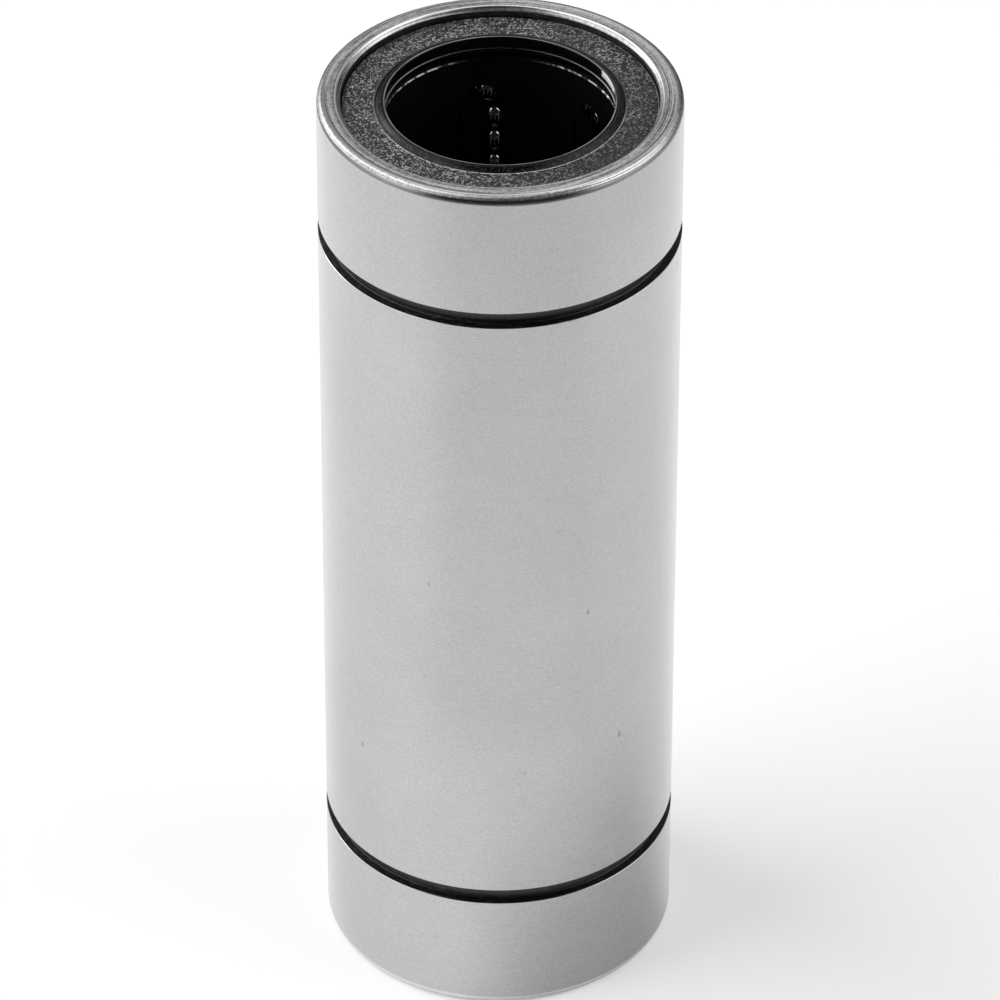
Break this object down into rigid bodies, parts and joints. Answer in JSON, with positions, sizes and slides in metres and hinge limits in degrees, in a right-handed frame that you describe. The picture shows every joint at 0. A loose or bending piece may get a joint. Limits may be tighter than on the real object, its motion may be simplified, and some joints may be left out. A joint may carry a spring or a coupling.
{
  "type": "linear ball bearing",
  "caption": "Closed long linear ball bearing: ground steel cylinder with two snap-ring grooves, recirculating ball circuits in plastic retainers, steel end rings and rubber seals.",
  "frame": {"origin": "centre of the lower end face, on the bearing's axis", "axes": "+Z along the bearing's axis, upwards; the first loaded ball row is near +Y"},
  "size_m": [0.04, 0.04, 0.112],
  "materials": {
    "ground_steel": "satin, fine ground",
    "ball_steel": "polished",
    "ring_steel": "satin",
    "black_resin": "matte moulded",
    "black_rubber": "fine grained, matte"
  },
  "bodies": {
    "housing": {"outer_cylinder": "ground_steel", "upper_ball_retainer": "black_resin", "lower_ball_retainer": "black_resin", "upper_end_ring": "ring_steel", "lower_end_ring": "ring_steel", "upper_seal": "black_rubber", "lower_seal": "black_rubber"},
    "upper_1_load_balls": {"upper_1_load_balls": "ball_steel"},
    "upper_1_return_balls": {"upper_1_return_balls": "ball_steel"},
    "upper_1_end_turn_balls": {"upper_1_end_turn_balls": "ball_steel"},
    "upper_1_middle_turn_balls": {"upper_1_middle_turn_balls": "ball_steel"},
    "upper_2_load_balls": {"upper_2_load_balls": "ball_steel"},
    "upper_2_return_balls": {"upper_2_return_balls": "ball_steel"},
    "upper_2_end_turn_balls": {"upper_2_end_turn_balls": "ball_steel"},
    "upper_2_middle_turn_balls": {"upper_2_middle_turn_balls": "ball_steel"},
    "upper_3_load_balls": {"upper_3_load_balls": "ball_steel"},
    "upper_3_return_balls": {"upper_3_return_balls": "ball_steel"},
    "upper_3_end_turn_balls": {"upper_3_end_turn_balls": "ball_steel"},
    "upper_3_middle_turn_balls": {"upper_3_middle_turn_balls": "ball_steel"},
    "upper_4_load_balls": {"upper_4_load_balls": "ball_steel"},
    "upper_4_return_balls": {"upper_4_return_balls": "ball_steel"},
    "upper_4_end_turn_balls": {"upper_4_end_turn_balls": "ball_steel"},
    "upper_4_middle_turn_balls": {"upper_4_middle_turn_balls": "ball_steel"},
    "upper_5_load_balls": {"upper_5_load_balls": "ball_steel"},
    "upper_5_return_balls": {"upper_5_return_balls": "ball_steel"},
    "upper_5_end_turn_balls": {"upper_5_end_turn_balls": "ball_steel"},
    "upper_5_middle_turn_balls": {"upper_5_middle_turn_balls": "ball_steel"},
    "upper_6_load_balls": {"upper_6_load_balls": "ball_steel"},
    "upper_6_return_balls": {"upper_6_return_balls": "ball_steel"},
    "upper_6_end_turn_balls": {"upper_6_end_turn_balls": "ball_steel"},
    "upper_6_middle_turn_balls": {"upper_6_middle_turn_balls": "ball_steel"},
    "lower_1_load_balls": {"lower_1_load_balls": "ball_steel"},
    "lower_1_return_balls": {"lower_1_return_balls": "ball_steel"},
    "lower_1_end_turn_balls": {"lower_1_end_turn_balls": "ball_steel"},
    "lower_1_middle_turn_balls": {"lower_1_middle_turn_balls": "ball_steel"},
    "lower_2_load_balls": {"lower_2_load_balls": "ball_steel"},
    "lower_2_return_balls": {"lower_2_return_balls": "ball_steel"},
    "lower_2_end_turn_balls": {"lower_2_end_turn_balls": "ball_steel"},
    "lower_2_middle_turn_balls": {"lower_2_middle_turn_balls": "ball_steel"},
    "lower_3_load_balls": {"lower_3_load_balls": "ball_steel"},
    "lower_3_return_balls": {"lower_3_return_balls": "ball_steel"},
    "lower_3_end_turn_balls": {"lower_3_end_turn_balls": "ball_steel"},
    "lower_3_middle_turn_balls": {"lower_3_middle_turn_balls": "ball_steel"},
    "lower_4_load_balls": {"lower_4_load_balls": "ball_steel"},
    "lower_4_return_balls": {"lower_4_return_balls": "ball_steel"},
    "lower_4_end_turn_balls": {"lower_4_end_turn_balls": "ball_steel"},
    "lower_4_middle_turn_balls": {"lower_4_middle_turn_balls": "ball_steel"},
    "lower_5_load_balls": {"lower_5_load_balls": "ball_steel"},
    "lower_5_return_balls": {"lower_5_return_balls": "ball_steel"},
    "lower_5_end_turn_balls": {"lower_5_end_turn_balls": "ball_steel"},
    "lower_5_middle_turn_balls": {"lower_5_middle_turn_balls": "ball_steel"},
    "lower_6_load_balls": {"lower_6_load_balls": "ball_steel"},
    "lower_6_return_balls": {"lower_6_return_balls": "ball_steel"},
    "lower_6_end_turn_balls": {"lower_6_end_turn_balls": "ball_steel"},
    "lower_6_middle_turn_balls": {"lower_6_middle_turn_balls": "ball_steel"}
  },
  "joints": [
    {"name": "upper_1_load_slide", "type": "slide", "parent": "housing", "child": "upper_1_load_balls", "axis": [0, 0, 1], "range_m": [-0.00159, 0.00159]},
    {"name": "upper_1_return_slide", "type": "slide", "parent": "housing", "child": "upper_1_return_balls", "axis": [0, 0, 1], "range_m": [-0.00159, 0.00159]},
    {"name": "upper_1_end_turn", "type": "hinge", "parent": "housing", "child": "upper_1_end_turn_balls", "pos_m": [-0.00304, 0.01396, 0.10189], "axis": [0.0454, -0.999, 0], "range_deg": [-37.79, 37.79]},
    {"name": "upper_1_middle_turn", "type": "hinge", "parent": "housing", "child": "upper_1_middle_turn_balls", "pos_m": [-0.00304, 0.01396, 0.06389], "axis": [0.0454, -0.999, 0], "range_deg": [-37.79, 37.79]},
    {"name": "upper_2_load_slide", "type": "slide", "parent": "housing", "child": "upper_2_load_balls", "axis": [0, 0, 1], "range_m": [-0.00159, 0.00159]},
    {"name": "upper_2_return_slide", "type": "slide", "parent": "housing", "child": "upper_2_return_balls", "axis": [0, 0, 1], "range_m": [-0.00159, 0.00159]},
    {"name": "upper_2_end_turn", "type": "hinge", "parent": "housing", "child": "upper_2_end_turn_balls", "pos_m": [-0.01362, 0.00435, 0.10189], "axis": [0.8878, -0.4602, 0], "range_deg": [-37.79, 37.79]},
    {"name": "upper_2_middle_turn", "type": "hinge", "parent": "housing", "child": "upper_2_middle_turn_balls", "pos_m": [-0.01362, 0.00435, 0.06389], "axis": [0.8878, -0.4602, 0], "range_deg": [-37.79, 37.79]},
    {"name": "upper_3_load_slide", "type": "slide", "parent": "housing", "child": "upper_3_load_balls", "axis": [0, 0, 1], "range_m": [-0.00159, 0.00159]},
    {"name": "upper_3_return_slide", "type": "slide", "parent": "housing", "child": "upper_3_return_balls", "axis": [0, 0, 1], "range_m": [-0.00159, 0.00159]},
    {"name": "upper_3_end_turn", "type": "hinge", "parent": "housing", "child": "upper_3_end_turn_balls", "pos_m": [-0.01057, -0.00962, 0.10189], "axis": [0.8425, 0.5388, 0], "range_deg": [-37.79, 37.79]},
    {"name": "upper_3_middle_turn", "type": "hinge", "parent": "housing", "child": "upper_3_middle_turn_balls", "pos_m": [-0.01057, -0.00962, 0.06389], "axis": [0.8425, 0.5388, 0], "range_deg": [-37.79, 37.79]},
    {"name": "upper_4_load_slide", "type": "slide", "parent": "housing", "child": "upper_4_load_balls", "axis": [0, 0, 1], "range_m": [-0.00159, 0.00159]},
    {"name": "upper_4_return_slide", "type": "slide", "parent": "housing", "child": "upper_4_return_balls", "axis": [0, 0, 1], "range_m": [-0.00159, 0.00159]},
    {"name": "upper_4_end_turn", "type": "hinge", "parent": "housing", "child": "upper_4_end_turn_balls", "pos_m": [0.00304, -0.01396, 0.10189], "axis": [-0.0454, 0.999, 0], "range_deg": [-37.79, 37.79]},
    {"name": "upper_4_middle_turn", "type": "hinge", "parent": "housing", "child": "upper_4_middle_turn_balls", "pos_m": [0.00304, -0.01396, 0.06389], "axis": [-0.0454, 0.999, 0], "range_deg": [-37.79, 37.79]},
    {"name": "upper_5_load_slide", "type": "slide", "parent": "housing", "child": "upper_5_load_balls", "axis": [0, 0, 1], "range_m": [-0.00159, 0.00159]},
    {"name": "upper_5_return_slide", "type": "slide", "parent": "housing", "child": "upper_5_return_balls", "axis": [0, 0, 1], "range_m": [-0.00159, 0.00159]},
    {"name": "upper_5_end_turn", "type": "hinge", "parent": "housing", "child": "upper_5_end_turn_balls", "pos_m": [0.01362, -0.00435, 0.10189], "axis": [-0.8878, 0.4602, 0], "range_deg": [-37.79, 37.79]},
    {"name": "upper_5_middle_turn", "type": "hinge", "parent": "housing", "child": "upper_5_middle_turn_balls", "pos_m": [0.01362, -0.00435, 0.06389], "axis": [-0.8878, 0.4602, 0], "range_deg": [-37.79, 37.79]},
    {"name": "upper_6_load_slide", "type": "slide", "parent": "housing", "child": "upper_6_load_balls", "axis": [0, 0, 1], "range_m": [-0.00159, 0.00159]},
    {"name": "upper_6_return_slide", "type": "slide", "parent": "housing", "child": "upper_6_return_balls", "axis": [0, 0, 1], "range_m": [-0.00159, 0.00159]},
    {"name": "upper_6_end_turn", "type": "hinge", "parent": "housing", "child": "upper_6_end_turn_balls", "pos_m": [0.01057, 0.00962, 0.10189], "axis": [-0.8425, -0.5388, 0], "range_deg": [-37.79, 37.79]},
    {"name": "upper_6_middle_turn", "type": "hinge", "parent": "housing", "child": "upper_6_middle_turn_balls", "pos_m": [0.01057, 0.00962, 0.06389], "axis": [-0.8425, -0.5388, 0], "range_deg": [-37.79, 37.79]},
    {"name": "lower_1_load_slide", "type": "slide", "parent": "housing", "child": "lower_1_load_balls", "axis": [0, 0, 1], "range_m": [-0.00159, 0.00159]},
    {"name": "lower_1_return_slide", "type": "slide", "parent": "housing", "child": "lower_1_return_balls", "axis": [0, 0, 1], "range_m": [-0.00159, 0.00159]},
    {"name": "lower_1_end_turn", "type": "hinge", "parent": "housing", "child": "lower_1_end_turn_balls", "pos_m": [0.00177, 0.01418, 0.01012], "axis": [-0.0454, 0.999, 0], "range_deg": [-37.79, 37.79]},
    {"name": "lower_1_middle_turn", "type": "hinge", "parent": "housing", "child": "lower_1_middle_turn_balls", "pos_m": [0.00177, 0.01418, 0.04811], "axis": [-0.0454, 0.999, 0], "range_deg": [-37.79, 37.79]},
    {"name": "lower_2_load_slide", "type": "slide", "parent": "housing", "child": "lower_2_load_balls", "axis": [0, 0, 1], "range_m": [-0.00159, 0.00159]},
    {"name": "lower_2_return_slide", "type": "slide", "parent": "housing", "child": "lower_2_return_balls", "axis": [0, 0, 1], "range_m": [-0.00159, 0.00159]},
    {"name": "lower_2_end_turn", "type": "hinge", "parent": "housing", "child": "lower_2_end_turn_balls", "pos_m": [0.01317, 0.00556, 0.01012], "axis": [0.8425, 0.5388, 0], "range_deg": [-37.79, 37.79]},
    {"name": "lower_2_middle_turn", "type": "hinge", "parent": "housing", "child": "lower_2_middle_turn_balls", "pos_m": [0.01317, 0.00556, 0.04811], "axis": [0.8425, 0.5388, 0], "range_deg": [-37.79, 37.79]},
    {"name": "lower_3_load_slide", "type": "slide", "parent": "housing", "child": "lower_3_load_balls", "axis": [0, 0, 1], "range_m": [-0.00159, 0.00159]},
    {"name": "lower_3_return_slide", "type": "slide", "parent": "housing", "child": "lower_3_return_balls", "axis": [0, 0, 1], "range_m": [-0.00159, 0.00159]},
    {"name": "lower_3_end_turn", "type": "hinge", "parent": "housing", "child": "lower_3_end_turn_balls", "pos_m": [0.0114, -0.00862, 0.01012], "axis": [0.8878, -0.4602, 0], "range_deg": [-37.79, 37.79]},
    {"name": "lower_3_middle_turn", "type": "hinge", "parent": "housing", "child": "lower_3_middle_turn_balls", "pos_m": [0.0114, -0.00862, 0.04811], "axis": [0.8878, -0.4602, 0], "range_deg": [-37.79, 37.79]},
    {"name": "lower_4_load_slide", "type": "slide", "parent": "housing", "child": "lower_4_load_balls", "axis": [0, 0, 1], "range_m": [-0.00159, 0.00159]},
    {"name": "lower_4_return_slide", "type": "slide", "parent": "housing", "child": "lower_4_return_balls", "axis": [0, 0, 1], "range_m": [-0.00159, 0.00159]},
    {"name": "lower_4_end_turn", "type": "hinge", "parent": "housing", "child": "lower_4_end_turn_balls", "pos_m": [-0.00177, -0.01418, 0.01012], "axis": [0.0454, -0.999, 0], "range_deg": [-37.79, 37.79]},
    {"name": "lower_4_middle_turn", "type": "hinge", "parent": "housing", "child": "lower_4_middle_turn_balls", "pos_m": [-0.00177, -0.01418, 0.04811], "axis": [0.0454, -0.999, 0], "range_deg": [-37.79, 37.79]},
    {"name": "lower_5_load_slide", "type": "slide", "parent": "housing", "child": "lower_5_load_balls", "axis": [0, 0, 1], "range_m": [-0.00159, 0.00159]},
    {"name": "lower_5_return_slide", "type": "slide", "parent": "housing", "child": "lower_5_return_balls", "axis": [0, 0, 1], "range_m": [-0.00159, 0.00159]},
    {"name": "lower_5_end_turn", "type": "hinge", "parent": "housing", "child": "lower_5_end_turn_balls", "pos_m": [-0.01317, -0.00556, 0.01012], "axis": [-0.8425, -0.5388, 0], "range_deg": [-37.79, 37.79]},
    {"name": "lower_5_middle_turn", "type": "hinge", "parent": "housing", "child": "lower_5_middle_turn_balls", "pos_m": [-0.01317, -0.00556, 0.04811], "axis": [-0.8425, -0.5388, 0], "range_deg": [-37.79, 37.79]},
    {"name": "lower_6_load_slide", "type": "slide", "parent": "housing", "child": "lower_6_load_balls", "axis": [0, 0, 1], "range_m": [-0.00159, 0.00159]},
    {"name": "lower_6_return_slide", "type": "slide", "parent": "housing", "child": "lower_6_return_balls", "axis": [0, 0, 1], "range_m": [-0.00159, 0.00159]},
    {"name": "lower_6_end_turn", "type": "hinge", "parent": "housing", "child": "lower_6_end_turn_balls", "pos_m": [-0.0114, 0.00862, 0.01012], "axis": [-0.8878, 0.4602, 0], "range_deg": [-37.79, 37.79]},
    {"name": "lower_6_middle_turn", "type": "hinge", "parent": "housing", "child": "lower_6_middle_turn_balls", "pos_m": [-0.0114, 0.00862, 0.04811], "axis": [-0.8878, 0.4602, 0], "range_deg": [-37.79, 37.79]}
  ],
  "couplings": [
    {"joint": "upper_1_return_slide", "follows": "upper_1_load_slide", "ratio": -1},
    {"joint": "upper_1_end_turn", "follows": "upper_1_load_slide", "rad_per_m": 415.37},
    {"joint": "upper_1_middle_turn", "follows": "upper_1_load_slide", "rad_per_m": 415.37},
    {"joint": "upper_2_return_slide", "follows": "upper_2_load_slide", "ratio": -1},
    {"joint": "upper_2_end_turn", "follows": "upper_2_load_slide", "rad_per_m": 415.37},
    {"joint": "upper_2_middle_turn", "follows": "upper_2_load_slide", "rad_per_m": 415.37},
    {"joint": "upper_3_return_slide", "follows": "upper_3_load_slide", "ratio": -1},
    {"joint": "upper_3_end_turn", "follows": "upper_3_load_slide", "rad_per_m": 415.37},
    {"joint": "upper_3_middle_turn", "follows": "upper_3_load_slide", "rad_per_m": 415.37},
    {"joint": "upper_4_return_slide", "follows": "upper_4_load_slide", "ratio": -1},
    {"joint": "upper_4_end_turn", "follows": "upper_4_load_slide", "rad_per_m": 415.37},
    {"joint": "upper_4_middle_turn", "follows": "upper_4_load_slide", "rad_per_m": 415.37},
    {"joint": "upper_5_return_slide", "follows": "upper_5_load_slide", "ratio": -1},
    {"joint": "upper_5_end_turn", "follows": "upper_5_load_slide", "rad_per_m": 415.37},
    {"joint": "upper_5_middle_turn", "follows": "upper_5_load_slide", "rad_per_m": 415.37},
    {"joint": "upper_6_return_slide", "follows": "upper_6_load_slide", "ratio": -1},
    {"joint": "upper_6_end_turn", "follows": "upper_6_load_slide", "rad_per_m": 415.37},
    {"joint": "upper_6_middle_turn", "follows": "upper_6_load_slide", "rad_per_m": 415.37},
    {"joint": "lower_1_return_slide", "follows": "lower_1_load_slide", "ratio": -1},
    {"joint": "lower_1_end_turn", "follows": "lower_1_load_slide", "rad_per_m": 415.37},
    {"joint": "lower_1_middle_turn", "follows": "lower_1_load_slide", "rad_per_m": 415.37},
    {"joint": "lower_2_return_slide", "follows": "lower_2_load_slide", "ratio": -1},
    {"joint": "lower_2_end_turn", "follows": "lower_2_load_slide", "rad_per_m": 415.37},
    {"joint": "lower_2_middle_turn", "follows": "lower_2_load_slide", "rad_per_m": 415.37},
    {"joint": "lower_3_return_slide", "follows": "lower_3_load_slide", "ratio": -1},
    {"joint": "lower_3_end_turn", "follows": "lower_3_load_slide", "rad_per_m": 415.37},
    {"joint": "lower_3_middle_turn", "follows": "lower_3_load_slide", "rad_per_m": 415.37},
    {"joint": "lower_4_return_slide", "follows": "lower_4_load_slide", "ratio": -1},
    {"joint": "lower_4_end_turn", "follows": "lower_4_load_slide", "rad_per_m": 415.37},
    {"joint": "lower_4_middle_turn", "follows": "lower_4_load_slide", "rad_per_m": 415.37},
    {"joint": "lower_5_return_slide", "follows": "lower_5_load_slide", "ratio": -1},
    {"joint": "lower_5_end_turn", "follows": "lower_5_load_slide", "rad_per_m": 415.37},
    {"joint": "lower_5_middle_turn", "follows": "lower_5_load_slide", "rad_per_m": 415.37},
    {"joint": "lower_6_return_slide", "follows": "lower_6_load_slide", "ratio": -1},
    {"joint": "lower_6_end_turn", "follows": "lower_6_load_slide", "rad_per_m": 415.37},
    {"joint": "lower_6_middle_turn", "follows": "lower_6_load_slide", "rad_per_m": 415.37}
  ]
}
